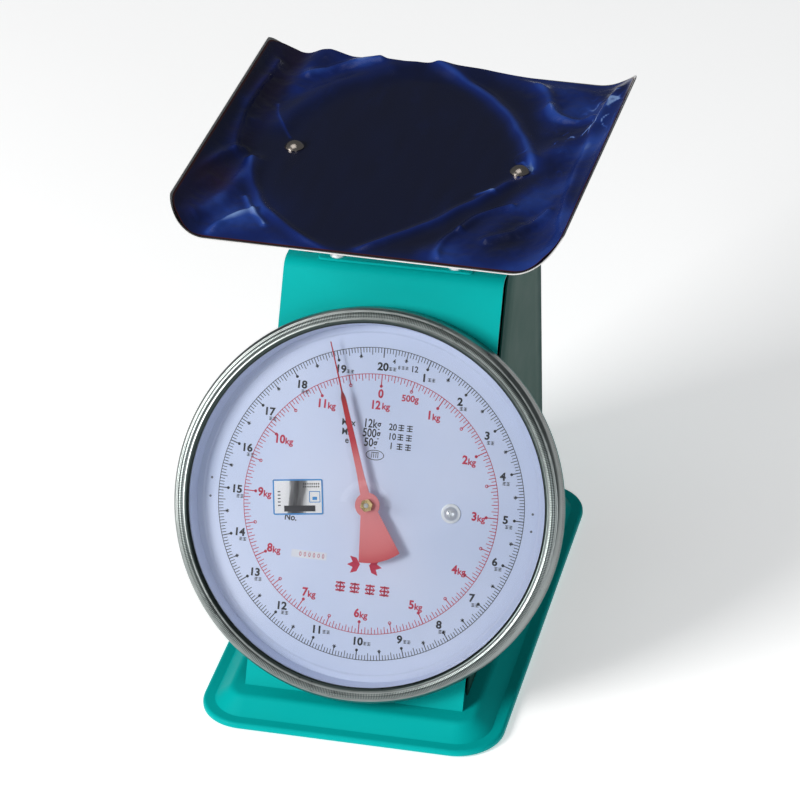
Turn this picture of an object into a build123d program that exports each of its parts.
"""Counter-top dial spring scale: pressed base, wedge body, round dial, flat load tray.

Frame: +Z up, the dial faces -Y, origin on the ground under the middle of the whole object.
"""
import os
from math import asin, atan2, cos, degrees, pi, radians, sin, tan

from build123d import *

os.makedirs("parts", exist_ok=True)

# ---------------------------------------------------------------- driving dimensions (mm)
LEAN = 29.5                 # the front of the body and the dial lean back by this
SHEET = 1.0                 # body sheet thickness
BASE_W, BASE_D, BASE_R, BASE_Y = 198.0, 306.0, 30.0, -13.0
RIM_Z, RIM_H = 1.5, 3.5     # rim underside above the ground, rim skirt height
FLANGE = 7.8                # flat flange around the raised plinth
PLINTH_RUN, PLINTH_RISE = 11.0, 9.0
PAN_T = 1.2
RIM_BEND_R, PLINTH_BEND_R = 2.2, 6.0
FOOT_X, FOOT_Y, FOOT_D = 68.0, 120.0, 18.0

BODY_REAR_Y = 112.0
BODY_TOP_Z = 253.0
FRONT_HALF_W = 71.6
SIDE_X = 71.3               # outer face of a side panel's border
SIDE_BULGE = 1.2            # its raised field
FIELD_FRONT, FIELD_REAR = 19.0, 25.0   # flat border in front of and behind that field
SIDE_GAP = 15.0             # slit between the front sheet and a side panel
BEND_R = 10.0
CHASSIS_X, CHASSIS_T = 66.0, 1.5

DIAL_Y, DIAL_Z = -76.9, 124.3
DIAL_STANDOFF = 3.2         # dial face in front of the body's front sheet
RIM_RADIUS, GLASS_RADIUS = 126.0, 115.5
POINTER_ANGLE = 18.4        # the pointer rests this far to the left of straight up

PINION_TEETH, MODULE = 12, 0.5
PITCH_R = PINION_TEETH * MODULE / 2
RACK_TRAVEL = 2 * pi * PITCH_R
STROKE = RACK_TRAVEL * cos(radians(LEAN))

CARRIER_X, CARRIER_T = 56.0, 4.0
CARRIER_Y, CARRIER_W = 41.0, 30.0
LINK_R = 48.0
LINK_PIVOT_Y = CARRIER_Y + LINK_R

TRAY_Y, TRAY_Z, TRAY_TURN = 41.2, 310.1, -1.4
TRAY_W, TRAY_D, TRAY_T = 249.0, 243.6, 0.8
WING_RUN, WING_R, WING_ANGLE = 28.0, 32.0, 50.0
TRAY_FRONT_R, TRAY_REAR_R = 28.0, 14.0
EDGE_SPREAD = 1.2           # the sheet's lower face reaches this much wider than its middle line
FILM_T, FILM_INSET = 0.25, 1.5
SCREW_X, SCREW_Y = 74.0, -0.7
BRACKET_T = 2.5

# ---------------------------------------------------------------- directions and planes
UP = Vector(0, sin(radians(LEAN)), cos(radians(LEAN)))
OUT = Vector(0, -cos(radians(LEAN)), sin(radians(LEAN)))
DIAL_CENTRE = Vector(0, DIAL_Y, DIAL_Z)
dial_plane = Plane(origin=DIAL_CENTRE, x_dir=(1, 0, 0), z_dir=OUT)
# section plane through the dial's axis: local x is the radius, local y is outward
dial_section = Plane(origin=DIAL_CENTRE, x_dir=(1, 0, 0), z_dir=-UP)
dial_axis = Axis(DIAL_CENTRE, OUT)
tray_plane = Plane(
    origin=(0, TRAY_Y, TRAY_Z),
    x_dir=(cos(radians(TRAY_TURN)), sin(radians(TRAY_TURN)), 0),
    z_dir=(0, 0, 1),
)
PLINTH_Z = RIM_Z + RIM_H + PLINTH_RISE
PLINTH_W = BASE_W - 2 * (FLANGE + PLINTH_RUN)
PLINTH_D = BASE_D - 2 * (FLANGE + PLINTH_RUN)
# foot of the front sheet, from the dial's place on it
FRONT_Y = (DIAL_Y + DIAL_STANDOFF * cos(radians(LEAN))
           - (DIAL_Z - DIAL_STANDOFF * sin(radians(LEAN)) - PLINTH_Z) * tan(radians(LEAN)))


def on_front(u, depth):
    """(y, z) of a point u up the front sheet and depth behind its outer face."""
    foot = Vector(0, FRONT_Y, PLINTH_Z)
    point = foot + UP * u - OUT * depth
    return (point.Y, point.Z)


def front_at_z(z, depth):
    """(y, z) where the line depth behind the front face crosses height z."""
    u = (z - PLINTH_Z + depth * sin(radians(LEAN))) / cos(radians(LEAN))
    return on_front(u, depth)


def level(z):
    """Horizontal plane at height z, centred on the base."""
    return Plane(origin=(0, BASE_Y, z))


def export(solid, name):
    solid.label = name
    export_step(solid, f"parts/{name}.step")


# ---------------------------------------------------------------- base
with BuildPart() as base_pan:
    rim_top = RIM_Z + RIM_H
    foot_r = BASE_R - FLANGE
    top_r = foot_r - PLINTH_RUN
    with BuildSketch(level(RIM_Z)):
        RectangleRounded(BASE_W, BASE_D, BASE_R)
    extrude(amount=RIM_H)
    fillet(base_pan.edges().group_by(Axis.Z)[-1], radius=RIM_BEND_R)
    with BuildSketch(level(rim_top)):
        RectangleRounded(BASE_W - 2 * FLANGE, BASE_D - 2 * FLANGE, foot_r)
    with BuildSketch(level(PLINTH_Z)):
        RectangleRounded(PLINTH_W, PLINTH_D, top_r)
    loft()
    fillet(base_pan.edges().group_by(Axis.Z)[-1], radius=PLINTH_BEND_R)
    with BuildSketch(level(RIM_Z)):
        RectangleRounded(BASE_W - 2 * PAN_T, BASE_D - 2 * PAN_T, BASE_R - PAN_T)
    extrude(amount=RIM_H - PAN_T, mode=Mode.SUBTRACT)
    wall = FLANGE + PAN_T
    with BuildSketch(level(rim_top - PAN_T)):
        RectangleRounded(BASE_W - 2 * wall, BASE_D - 2 * wall, foot_r - PAN_T)
    with BuildSketch(level(PLINTH_Z - PAN_T)):
        RectangleRounded(PLINTH_W - 2 * PAN_T, PLINTH_D - 2 * PAN_T, top_r - PAN_T)
    loft(mode=Mode.SUBTRACT)
export(base_pan.part, "base_pan")

with BuildPart() as base_feet:
    with BuildSketch(level(0)):
        with GridLocations(2 * FOOT_X, 2 * FOOT_Y, 2, 2):
            Circle(FOOT_D / 2)
    extrude(amount=PLINTH_Z - PAN_T)
    chamfer(base_feet.edges().group_by(Axis.Z)[0], length=1.5)
export(base_feet.part, "base_feet")

# ---------------------------------------------------------------- body sheets
SLOT_FRONT_Y, SLOT_REAR_Y = 10.0, 61.0
SLOT_IN_X, SLOT_OUT_X = 53.3, 62.7
COVER_HALF_W, COVER_FRONT_Y, COVER_REAR_Y, COVER_T = 50.5, 2.5, 97.0, 1.5
COVER_SCREW_X, COVER_SCREW_Y = 38.6, (8.5, 90.0)
SPINDLE_R = 2.5

with BuildPart() as front_cover:
    outer_bend = front_at_z(BODY_TOP_Z, 0)
    inner_bend = front_at_z(BODY_TOP_Z - SHEET, SHEET)
    with BuildSketch(Plane.YZ) as profile:
        Polygon(
            front_at_z(PLINTH_Z, 0), outer_bend, (BODY_REAR_Y - SHEET, BODY_TOP_Z),
            (BODY_REAR_Y - SHEET, BODY_TOP_Z - SHEET), inner_bend, front_at_z(PLINTH_Z, SHEET),
            align=None,
        )
        bend = profile.vertices().sort_by_distance((*outer_bend, 0))
        fillet(bend[0], BEND_R)
        bend = profile.vertices().sort_by_distance((*inner_bend, 0))
        fillet(bend[0], BEND_R - SHEET)
    extrude(amount=FRONT_HALF_W, both=True)
    with BuildSketch(dial_plane):
        Circle(5.0)
    extrude(amount=-10, mode=Mode.SUBTRACT)
    with BuildSketch(Plane.XY.offset(BODY_TOP_Z)):
        slot_w, slot_l = SLOT_OUT_X - SLOT_IN_X, SLOT_REAR_Y - SLOT_FRONT_Y
        with Locations(*[(s * (SLOT_IN_X + slot_w / 2), SLOT_FRONT_Y + slot_l / 2) for s in (-1, 1)]):
            RectangleRounded(slot_w, slot_l, 4.0)
        with Locations((0, CARRIER_Y)):
            Circle(SPINDLE_R + 0.5)
    extrude(amount=-5, mode=Mode.SUBTRACT)
export(front_cover.part, "front_cover")

with BuildPart() as side_panels:
    high = BODY_TOP_Z - SHEET

    def wedge(x, low, front, top, rear, corner_r):
        """Side outline at x, with its borders moved in from the panel's own edges."""
        peak = front_at_z(high - top, SIDE_GAP + front)
        with BuildSketch(Plane.YZ.offset(x)) as outline:
            Polygon(
                front_at_z(PLINTH_Z + low, SIDE_GAP + front), peak,
                (BODY_REAR_Y - rear, high - top), (BODY_REAR_Y - rear, PLINTH_Z + low), align=None,
            )
            fillet(outline.vertices().sort_by_distance((*peak, 0))[0], corner_r)
        return outline.sketch.face()

    extrude(wedge(SIDE_X - SHEET, 0, 0, 0, 0, 22.0), amount=SHEET)
    loft([wedge(SIDE_X, 3, 2, 2, 1, 20.0), wedge(SIDE_X + SIDE_BULGE, 12, FIELD_FRONT, 8, FIELD_REAR, 17.0)])
    mirror(about=Plane.YZ)
export(side_panels.part, "side_panels")

with BuildPart() as rear_panel:
    with BuildSketch(Plane.XY.offset(PLINTH_Z)):
        with Locations((0, BODY_REAR_Y - SHEET / 2)):
            Rectangle(2 * (SIDE_X - SHEET), SHEET)
    extrude(amount=BODY_TOP_Z - PLINTH_Z)
export(rear_panel.part, "rear_panel")

with BuildPart() as rear_screws:
    with BuildSketch(Plane.XZ.offset(-BODY_REAR_Y)):
        with Locations(*[(x, z) for x in (-62, 62) for z in (30, 240)]):
            Circle(4.0)
    extrude(amount=-2.4)
    fillet(rear_screws.edges().group_by(Axis.Y)[-1], radius=1.6)
export(rear_screws.part, "rear_screws")

# ---------------------------------------------------------------- chassis inside the body
LINK_DROP = STROKE / 2
LINK_ANGLE = degrees(atan2(LINK_DROP, LINK_R))
UPPER_LINK_Z, LOWER_LINK_Z = 205.0, 100.0
LINK_ROD_R = 2.5

with BuildPart() as chassis_plates:
    bend_y = front_at_z(BODY_TOP_Z, 0)[0]
    for side in (-1, 1):
        with BuildSketch(Plane.YZ.offset(side * CHASSIS_X)) as plate:
            Polygon(
                front_at_z(PLINTH_Z, SHEET), front_at_z(BODY_TOP_Z - BEND_R, SHEET),
                (bend_y + 8, BODY_TOP_Z - SHEET), (BODY_REAR_Y - SHEET, BODY_TOP_Z - SHEET),
                (BODY_REAR_Y - SHEET, PLINTH_Z), align=None,
            )
            with Locations((LINK_PIVOT_Y, UPPER_LINK_Z), (LINK_PIVOT_Y, LOWER_LINK_Z)):
                Circle(LINK_ROD_R + 0.05, mode=Mode.SUBTRACT)
        extrude(amount=side * CHASSIS_T)
export(chassis_plates.part, "chassis_plates")

# ---------------------------------------------------------------- top cover plate over the works
with BuildPart() as cover_plate:
    with BuildSketch(Plane.XY.offset(BODY_TOP_Z)):
        with Locations((0, (COVER_FRONT_Y + COVER_REAR_Y) / 2)):
            RectangleRounded(2 * COVER_HALF_W, COVER_REAR_Y - COVER_FRONT_Y, 3.0)
        with Locations((0, CARRIER_Y)):
            Circle(SPINDLE_R + 0.05, mode=Mode.SUBTRACT)
    extrude(amount=COVER_T)
    fillet(cover_plate.edges().group_by(Axis.Z)[-1], radius=0.6)
export(cover_plate.part, "cover_plate")


def cap(radius, edge, crown):
    """Arc from (radius, edge) to (0, crown), centred on the axis."""
    rise = crown - edge
    ball = (radius ** 2 + rise ** 2) / (2 * rise)
    half = asin(radius / ball) / 2
    return ThreePointArc(
        (radius, edge), (ball * sin(half), crown - ball + ball * cos(half)), (0, crown))


def dome(radius, height):
    """Section of a domed screw head: half profile in local x (radius) and y (height)."""
    with BuildSketch(Plane.XY) as half:
        with BuildLine():
            Line((0, 0), (radius, 0))
            Line((radius, 0), (radius, 0.25 * height))
            cap(radius, 0.25 * height, height)
            Line((0, height), (0, 0))
        make_face()
    return half.sketch


with BuildPart() as cover_screws:
    for x in (-COVER_SCREW_X, COVER_SCREW_X):
        for y in COVER_SCREW_Y:
            with BuildSketch(Plane(origin=(x, y, BODY_TOP_Z + COVER_T), x_dir=(1, 0, 0), z_dir=(0, -1, 0))):
                add(dome(5.0, 3.2))
            revolve(axis=Axis((x, y, 0), (0, 0, 1)))
export(cover_screws.part, "cover_screws")

# ---------------------------------------------------------------- dial
PAN_R, PAN_LIP_R, PAN_LIP_N = 113.6, 118.2, 12.6
BACK_N = -DIAL_STANDOFF + 1.0
GLASS_T = 1.5

with BuildPart() as dial_pan:
    with BuildSketch(dial_section):
        Polygon(
            (3.2, 0), (109.0, 0), (110.2, 0.7), (PAN_R, 0.9), (115.6, PAN_LIP_N), (PAN_LIP_R, PAN_LIP_N),
            (PAN_LIP_R, PAN_LIP_N - 1), (116.6, PAN_LIP_N - 1), (114.6, -0.1), (110.2, -0.4),
            (109.0, -1.2), (60, -1.2), (60, BACK_N), (46, BACK_N), (46, -1.2), (3.2, -1.2),
            align=None,
        )
    revolve(axis=dial_axis)
export(dial_pan.part, "dial_pan")

with BuildPart() as drum_back:
    with BuildSketch(dial_section):
        Polygon((5, -DIAL_STANDOFF), (122.6, -DIAL_STANDOFF), (123.8, -DIAL_STANDOFF + 1.2), (123.8, 8.0),
                (122.8, 8.0), (122.8, BACK_N), (5, BACK_N), align=None)
    revolve(axis=dial_axis)
export(drum_back.part, "drum_back")

with BuildPart() as bezel_ring:
    with BuildSketch(dial_section):
        with BuildLine():
            Polyline((123.8, -DIAL_STANDOFF + 1.2), (124.6, -DIAL_STANDOFF + 1.0), (RIM_RADIUS, -0.4),
                     (RIM_RADIUS, 11.2))
            ThreePointArc((RIM_RADIUS, 11.2), (RIM_RADIUS - 1.3, 15.2), (121.4, 16.9))
            Polyline((121.4, 16.9), (121.0, 16.3), (120.6, 16.9), (119.2, 17.0), (118.8, 16.2),
                     (118.4, 16.9), (117.2, 16.7), (GLASS_RADIUS, 15.0), (GLASS_RADIUS, 14.25),
                     (118.7, 14.25), (122.2, 13.6), (123.8, 10.0), (123.8, -DIAL_STANDOFF + 1.2))
        make_face()
    revolve(axis=dial_axis)
export(bezel_ring.part, "bezel_ring")

with BuildPart() as dial_glass:
    seat = PAN_LIP_N + 0.02
    with BuildSketch(dial_section):
        with BuildLine():
            Line((0, seat + 1.5), (0, seat + 1.5 + GLASS_T))
            cap(114.6, seat + GLASS_T, seat + 1.5 + GLASS_T)
            Polyline((114.6, seat + GLASS_T), (PAN_LIP_R, seat + GLASS_T), (PAN_LIP_R, seat), (114.6, seat))
            cap(114.6, seat, seat + 1.5)
        make_face()
    revolve(axis=dial_axis)
export(dial_glass.part, "dial_glass")

DIAL_SCREW_X, DIAL_SCREW_U = 52.7, 0.0
STICKER_TURN = 7.0          # stuck on by hand, so it isn't level
with BuildPart() as dial_washer:
    with BuildSketch(dial_plane):
        with Locations((DIAL_SCREW_X, DIAL_SCREW_U)):
            Circle(6.3)
    extrude(amount=0.9)
    rims = dial_washer.edges().filter_by(GeomType.CIRCLE).sort_by(dial_axis)
    fillet(rims[-1], radius=0.3)
export(dial_washer.part, "dial_washer")

with BuildPart() as dial_screw:
    head = Plane(origin=DIAL_CENTRE + Vector(DIAL_SCREW_X, 0, 0) + UP * DIAL_SCREW_U + OUT * 0.9,
                 x_dir=(1, 0, 0), z_dir=-UP)
    with BuildSketch(head):
        add(dome(4.4, 2.6))
    revolve(axis=Axis(head.origin, OUT))
    with BuildSketch(Plane(origin=head.origin + OUT * 1.5, x_dir=(1, 0, 0), z_dir=OUT)):
        Rectangle(4.2, 0.9, rotation=35)
        Rectangle(4.2, 0.9, rotation=125)
    extrude(amount=2, mode=Mode.SUBTRACT)
export(dial_screw.part, "dial_screw")

with BuildPart() as seal_sticker:
    with BuildSketch(dial_plane):
        with Locations((-47.4, -0.7)):
            Rectangle(33.0, 22.9, rotation=STICKER_TURN)
    extrude(amount=0.25)
export(seal_sticker.part, "seal_sticker")

with BuildPart() as blank_label:
    with BuildSketch(dial_plane):
        with Locations((-36.8, -36.7)):
            Rectangle(23.2, 4.9)
    extrude(amount=0.2)
export(blank_label.part, "blank_label")

# ---------------------------------------------------------------- pointer movement
SHAFT_R = 1.5
PLATE_FRONT_N, PLATE_REAR_N, PLATE_T = -8.5, -24.5, 1.5
PINION_N, PINION_L = -21.0, 8.0
POINTER_N, POINTER_T = 7.6, 0.8
TOOTH_W, TOOTH_OUT, TOOTH_IN, PRESSURE = 0.55, 0.28, 0.62, 20.0

with BuildPart() as movement_plates:
    for n in (PLATE_FRONT_N, PLATE_REAR_N):
        with BuildSketch(dial_plane.offset(n)):
            with Locations((0, 4)):
                RectangleRounded(36, 44, 3)
            Circle(SHAFT_R + 0.05, mode=Mode.SUBTRACT)
        extrude(amount=-PLATE_T)
export(movement_plates.part, "movement_plates")

with BuildPart() as movement_pillars:
    spots = [(x, u) for x in (-14, 14) for u in (-14, 22)]
    with BuildSketch(dial_plane.offset(-DIAL_STANDOFF - SHEET)):
        with Locations(*spots):
            Circle(2.5)
    extrude(amount=PLATE_FRONT_N + DIAL_STANDOFF + SHEET)
    with BuildSketch(dial_plane.offset(PLATE_FRONT_N - PLATE_T)):
        with Locations(*spots):
            Circle(2.5)
    extrude(amount=PLATE_REAR_N - PLATE_FRONT_N + PLATE_T)
export(movement_pillars.part, "movement_pillars")

with BuildPart() as pointer_arbor:
    with BuildSketch(dial_plane.offset(PLATE_REAR_N - PLATE_T - 0.5)):
        Circle(SHAFT_R)
    extrude(amount=POINTER_N + POINTER_T + 3.4 - PLATE_REAR_N + PLATE_T + 0.5)
    with BuildSketch(dial_plane.offset(POINTER_N - 1.4)):
        Circle(3.2)
    extrude(amount=1.4)
export(pointer_arbor.part, "pointer_arbor")


HALF_TIP = TOOTH_W / 2 - TOOTH_OUT * tan(radians(PRESSURE))
HALF_ROOT = TOOTH_W / 2 + TOOTH_IN * tan(radians(PRESSURE))
with BuildPart() as pinion:
    with BuildSketch(dial_plane.offset(PINION_N)):
        RegularPolygon(PITCH_R - TOOTH_IN, 24)
        with PolarLocations(0, PINION_TEETH, start_angle=180 / PINION_TEETH):
            Polygon(
                (PITCH_R - TOOTH_IN - 0.2, -HALF_ROOT), (PITCH_R + TOOTH_OUT, -HALF_TIP),
                (PITCH_R + TOOTH_OUT, HALF_TIP), (PITCH_R - TOOTH_IN - 0.2, HALF_ROOT), align=None,
            )
        Circle(SHAFT_R, mode=Mode.SUBTRACT)
    extrude(amount=PINION_L)
export(pinion.part, "pinion")

pointer_plane = Plane(
    origin=DIAL_CENTRE + OUT * POINTER_N,
    x_dir=Vector(1, 0, 0) * cos(radians(POINTER_ANGLE)) + UP * sin(radians(POINTER_ANGLE)),
    z_dir=OUT,
)
HUB_R, TAIL_R = 8.0, 36.8
with BuildPart() as pointer:
    with BuildSketch(pointer_plane) as blade:
        Circle(HUB_R)
        Polygon((-3.1, 0), (-2.9, 8.5), (-2.2, 20), (-1.5, 70), (-0.45, 74), (-0.3, 106.2),
                (0.3, 106.2), (0.45, 74), (1.5, 70), (2.2, 20), (2.9, 8.5), (3.1, 0), align=None)
        with BuildSketch(mode=Mode.PRIVATE) as fan:
            Circle(TAIL_R)
            Polygon((-5.2, 0), (-5.6, -5), (-15.2, -40), (15.2, -40), (5.6, -5), (5.2, 0),
                    align=None, mode=Mode.INTERSECT)
        add(fan.sketch)
        Circle(SHAFT_R, mode=Mode.SUBTRACT)
    extrude(amount=POINTER_T)
export(pointer.part, "pointer")

with BuildPart() as hub_nut:
    with BuildSketch(pointer_plane.offset(POINTER_T)):
        RegularPolygon(3.6, 6, major_radius=False)
        Circle(SHAFT_R, mode=Mode.SUBTRACT)
    extrude(amount=2.8)
export(hub_nut.part, "hub_nut")

# ---------------------------------------------------------------- rack, driven by the carrier
RACK_FACE, RACK_BACK, RACK_HALF_N, RACK_N = PITCH_R + TOOTH_IN, 8.0, 3.0, -17.0
PIN_R, PIN_CLEAR = 1.5, 0.35
rack_centre = DIAL_CENTRE + OUT * RACK_N
PIN_Y, PIN_Z = -35.0, 166.0
pin_u = (PIN_Y - rack_centre.Y) * UP.Y + (PIN_Z - rack_centre.Z) * UP.Z
PIN_SHIFT = STROKE * tan(radians(LEAN))

with BuildPart() as rack_bar:
    with BuildSketch(dial_plane.offset(RACK_N)):
        pitch = pi * MODULE
        with Locations(((RACK_FACE + RACK_BACK) / 2, (pin_u - 7) / 2)):
            Rectangle(RACK_BACK - RACK_FACE, pin_u + 1)
        for k in range(-1, 14):
            mid = k * pitch
            Polygon((RACK_FACE + 0.1, mid - HALF_ROOT), (PITCH_R - TOOTH_OUT, mid - HALF_TIP),
                    (PITCH_R - TOOTH_OUT, mid + HALF_TIP), (RACK_FACE + 0.1, mid + HALF_ROOT), align=None)
    extrude(amount=RACK_HALF_N, both=True)
    with BuildSketch(Plane.YZ.offset(RACK_FACE)):
        with Locations((PIN_Y + PIN_SHIFT / 2, PIN_Z)):
            RectangleRounded(PIN_SHIFT + 13, 12, 3)
    extrude(amount=RACK_BACK - RACK_FACE)
    with BuildSketch(Plane.YZ.offset(RACK_FACE - 1)):
        with Locations((PIN_Y + PIN_SHIFT / 2, PIN_Z)):
            SlotCenterToCenter(PIN_SHIFT, 2 * (PIN_R + PIN_CLEAR))
    extrude(amount=RACK_BACK - RACK_FACE + 2, mode=Mode.SUBTRACT)
export(rack_bar.part, "rack_bar")

# ---------------------------------------------------------------- carrier: moves straight down with the load
BRACKET_BOTTOM = TRAY_Z - TRAY_T - BRACKET_T
CARRIER_LOW_Z = 62.0
BAR_FRONT = CARRIER_Y - CARRIER_W / 2
ARM_X, ARM_T = RACK_BACK + 0.5, 5.0

with BuildPart() as carrier_bars:
    with BuildSketch(Plane.XY.offset(CARRIER_LOW_Z)):
        for side in (-1, 1):
            with Locations((side * (CARRIER_X + CARRIER_T / 2), CARRIER_Y)):
                Rectangle(CARRIER_T, CARRIER_W)
    extrude(amount=BRACKET_BOTTOM - CARRIER_LOW_Z)
export(carrier_bars.part, "carrier_bars")

with BuildPart() as carrier_crossbars:
    for z in (160.0, 228.0):
        with BuildSketch(Plane.XY.offset(z)):
            with Locations((0, BAR_FRONT + 1.75)):
                Rectangle(2 * CARRIER_X, 3.5)
        extrude(amount=12)
    with BuildSketch(Plane.XY.offset(CARRIER_LOW_Z)):
        with Locations((0, CARRIER_Y)):
            Rectangle(2 * CARRIER_X, 14)
    extrude(amount=8)
export(carrier_crossbars.part, "carrier_crossbars")

with BuildPart() as rack_arm:
    with BuildSketch(Plane.YZ.offset(ARM_X)):
        with Locations(((PIN_Y - 4 + BAR_FRONT) / 2, PIN_Z)):
            Rectangle(BAR_FRONT - PIN_Y + 4, 7)
    extrude(amount=ARM_T)
    with BuildSketch(Plane.YZ.offset(RACK_FACE - 0.6)):
        with Locations((PIN_Y, PIN_Z)):
            Circle(PIN_R)
    extrude(amount=ARM_X - RACK_FACE + 1)
export(rack_arm.part, "rack_arm")

with BuildPart() as link_pins:
    for z in (UPPER_LINK_Z, LOWER_LINK_Z):
        for side in (-1, 1):
            with BuildSketch(Plane.YZ.offset(side * CARRIER_X)):
                with Locations((CARRIER_Y, z + LINK_DROP)):
                    Circle(LINK_ROD_R)
            extrude(amount=-side * 9)
export(link_pins.part, "link_pins")


def make_link(name, z):
    """Two slotted arms on a cross rod, tilted up to the carrier's pins in the unloaded position."""
    tilt = Plane(origin=(0, LINK_PIVOT_Y, z), x_dir=(0, -cos(radians(LINK_ANGLE)), sin(radians(LINK_ANGLE))),
                 z_dir=(1, 0, 0))
    slot_near, slot_far = LINK_R - 0.2, LINK_R / cos(radians(LINK_ANGLE)) + 0.2
    with BuildPart() as link:
        with BuildSketch(Plane.YZ.offset(-CHASSIS_X - CHASSIS_T)):
            with Locations((LINK_PIVOT_Y, z)):
                Circle(LINK_ROD_R)
        extrude(amount=2 * (CHASSIS_X + CHASSIS_T))
        for x in (-51.5, 48.5):
            with BuildSketch(tilt.offset(x)):
                with Locations((slot_far / 2, 0)):
                    SlotOverall(slot_far + 16, 12)
                with Locations(((slot_near + slot_far) / 2, 0)):
                    SlotCenterToCenter(slot_far - slot_near, 2 * (LINK_ROD_R + PIN_CLEAR), mode=Mode.SUBTRACT)
            extrude(amount=3)
    export(link.part, name)


make_link("upper_link", UPPER_LINK_Z)
make_link("lower_link", LOWER_LINK_Z)

# ---------------------------------------------------------------- springs and zero adjuster
SPRING_X, SPRING_LOW_Z, SPRING_TOP_Z = 20.0, 82.0, 172.0
COIL_R, WIRE_R, COIL_TURNS = 8.0, 1.1, 16
HANGER_Z, HANGER_T = 184.0, 4.0

with BuildPart() as spring_hanger:
    with BuildSketch(Plane.XY.offset(HANGER_Z)):
        front = CARRIER_Y - 10
        with Locations((0, (front + BODY_REAR_Y - SHEET) / 2)):
            Rectangle(74, BODY_REAR_Y - SHEET - front)
        with Locations((0, CARRIER_Y)):
            Circle(SPINDLE_R + 0.05, mode=Mode.SUBTRACT)
    extrude(amount=HANGER_T)
    with BuildSketch(Plane.XY.offset(HANGER_Z - 22)):
        with Locations((0, BODY_REAR_Y - SHEET - 1.5)):
            Rectangle(74, 3)
    extrude(amount=22)
export(spring_hanger.part, "spring_hanger")


def spring_plugs(name, disc_z, stud_z, stud_h):
    with BuildPart() as plugs:
        with BuildSketch(Plane.XY.offset(disc_z)):
            with Locations((-SPRING_X, CARRIER_Y), (SPRING_X, CARRIER_Y)):
                Circle(COIL_R + WIRE_R)
        extrude(amount=4)
        with BuildSketch(Plane.XY.offset(stud_z)):
            with Locations((-SPRING_X, CARRIER_Y), (SPRING_X, CARRIER_Y)):
                Circle(3.0)
        extrude(amount=stud_h)
    export(plugs.part, name)


spring_plugs("spring_top_plugs", SPRING_TOP_Z, SPRING_TOP_Z + 4, HANGER_Z - SPRING_TOP_Z - 4)
spring_plugs("spring_bottom_plugs", SPRING_LOW_Z - 4, CARRIER_LOW_Z + 8, SPRING_LOW_Z - CARRIER_LOW_Z - 12)

with BuildPart() as main_springs:
    coil_h = SPRING_TOP_Z - SPRING_LOW_Z - 2 * WIRE_R
    for x in (-SPRING_X, SPRING_X):
        with BuildLine(Plane(origin=(x, CARRIER_Y, SPRING_LOW_Z + WIRE_R))) as coil:
            Helix(pitch=coil_h / COIL_TURNS, height=coil_h, radius=COIL_R)
        with BuildSketch(Plane(origin=coil.line @ 0, z_dir=coil.line % 0)):
            Circle(WIRE_R)
        sweep(path=coil.line, is_frenet=True)
export(main_springs.part, "main_springs")

KNOB_R, KNOB_H, KNOB_Z = 12.0, 10.0, 256.0
with BuildPart() as zero_knob:
    with BuildSketch(Plane.XY.offset(KNOB_Z)):
        with Locations((0, CARRIER_Y)):
            Circle(KNOB_R)
        with Locations((0, CARRIER_Y)):
            with PolarLocations(KNOB_R, 24):
                Circle(0.7, mode=Mode.SUBTRACT)
    extrude(amount=KNOB_H)
export(zero_knob.part, "zero_knob")

with BuildPart() as zero_spindle:
    with BuildSketch(Plane.XY.offset(HANGER_Z - 6)):
        with Locations((0, CARRIER_Y)):
            Circle(SPINDLE_R)
    extrude(amount=KNOB_Z - HANGER_Z + 6)
export(zero_spindle.part, "zero_spindle")

# ---------------------------------------------------------------- tray on its bracket
FLAT_HALF = TRAY_W / 2 - WING_RUN
arc_run = WING_R * sin(radians(WING_ANGLE))
straight = (WING_RUN - arc_run) / cos(radians(WING_ANGLE))


def tray_section(low, high):
    """Closed section between two offsets of the tray's middle line; local y is up."""
    def side(s, d):
        bend = WING_R - d
        centre = (s * FLAT_HALF, WING_R)
        mid_a, end_a = radians(WING_ANGLE / 2), radians(WING_ANGLE)
        start = (centre[0], centre[1] - bend)
        middle = (centre[0] + s * bend * sin(mid_a), centre[1] - bend * cos(mid_a))
        end = (centre[0] + s * bend * sin(end_a), centre[1] - bend * cos(end_a))
        tip = (end[0] + s * straight * cos(end_a), end[1] + straight * sin(end_a))
        return start, middle, end, tip
    with BuildSketch(Plane.XY) as section:
        with BuildLine():
            ends = []
            for d in (high, low):
                right, left = side(1, d), side(-1, d)
                Line(left[0], right[0])
                for start, middle, end, tip in (left, right):
                    ThreePointArc(start, middle, end)
                    Line(end, tip)
                ends.append((left[3], right[3]))
            Line(ends[0][0], ends[1][0])
            Line(ends[0][1], ends[1][1])
        make_face()
    return section.sketch


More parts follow.
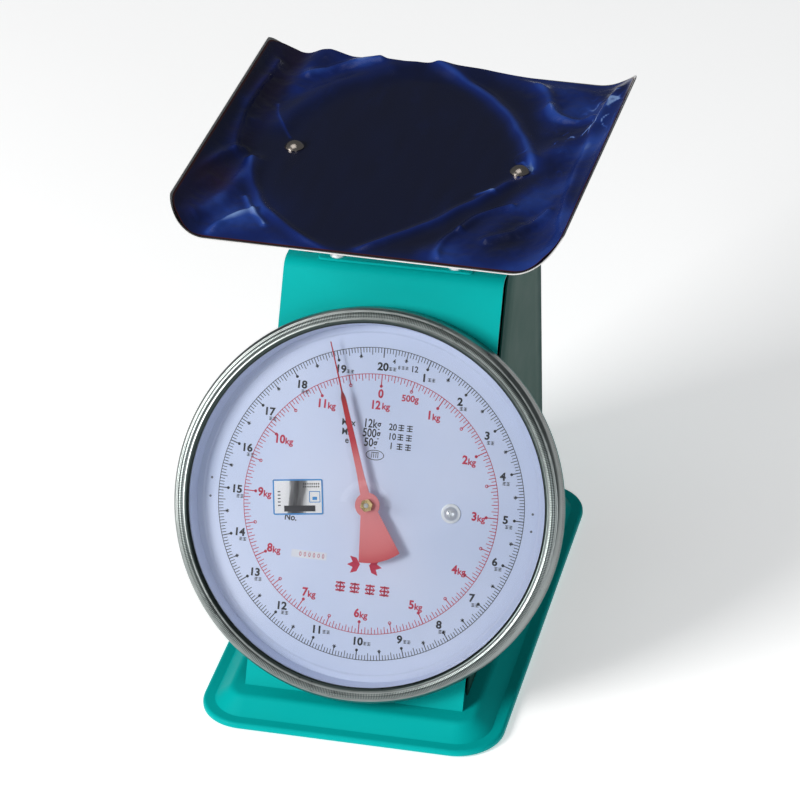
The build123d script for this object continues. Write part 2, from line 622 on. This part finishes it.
def tray_outline(inset):
    """Plan of the tray: large front corners, small rear corners."""
    with BuildSketch(Plane.XY) as plan:
        Rectangle(TRAY_W + EDGE_SPREAD - 2 * inset, TRAY_D - 2 * inset)
        fillet(plan.vertices().group_by(Axis.Y)[0], TRAY_FRONT_R - inset)
        fillet(plan.vertices().group_by(Axis.Y)[-1], TRAY_REAR_R - inset)
    return plan.sketch


def tray_like(name, low, high, inset, hole_r):
    across = Plane(origin=tray_plane.origin, x_dir=tray_plane.x_dir, z_dir=-tray_plane.y_dir)
    with BuildPart() as sheet:
        with BuildSketch(across):
            add(tray_section(low, high))
        extrude(amount=TRAY_D, both=True)
        with BuildSketch(tray_plane.offset(-5)):
            add(tray_outline(inset))
            with Locations((-SCREW_X, SCREW_Y), (SCREW_X, SCREW_Y)):
                Circle(hole_r, mode=Mode.SUBTRACT)
        extrude(amount=40, mode=Mode.INTERSECT)
    export(sheet.part, name)


tray_like("tray", -TRAY_T, 0, 0, 2.9)
tray_like("protective_film", 0, FILM_T, FILM_INSET, 7.0)

with BuildPart() as tray_bracket:
    with BuildSketch(tray_plane.offset(-TRAY_T)):
        Rectangle(176, 44)
        with Locations((-SCREW_X, SCREW_Y), (SCREW_X, SCREW_Y)):
            Circle(2.9, mode=Mode.SUBTRACT)
    extrude(amount=-BRACKET_T)
    with BuildSketch(tray_plane.offset(-TRAY_T - BRACKET_T)):
        with Locations((0, -20.75), (0, 20.75)):
            Rectangle(176, 2.5)
    extrude(amount=-8)
export(tray_bracket.part, "tray_bracket")

with BuildPart() as tray_screws:
    for x in (-SCREW_X, SCREW_X):
        centre = tray_plane.from_local_coords((x, SCREW_Y, 0))
        with BuildSketch(Plane(origin=centre, x_dir=(1, 0, 0), z_dir=(0, -1, 0))):
            add(dome(6.3, 4.4))
        revolve(axis=Axis(centre, (0, 0, 1)))
        with BuildSketch(Plane(origin=centre)):
            Circle(2.5)
        extrude(amount=-12)
export(tray_screws.part, "tray_screws")

with BuildPart() as tray_nuts:
    for x in (-SCREW_X, SCREW_X):
        centre = tray_plane.from_local_coords((x, SCREW_Y, -TRAY_T - BRACKET_T))
        with BuildSketch(Plane(origin=centre)):
            RegularPolygon(4.5, 6, major_radius=False)
            Circle(2.5, mode=Mode.SUBTRACT)
        extrude(amount=-4.5)
export(tray_nuts.part, "tray_nuts")
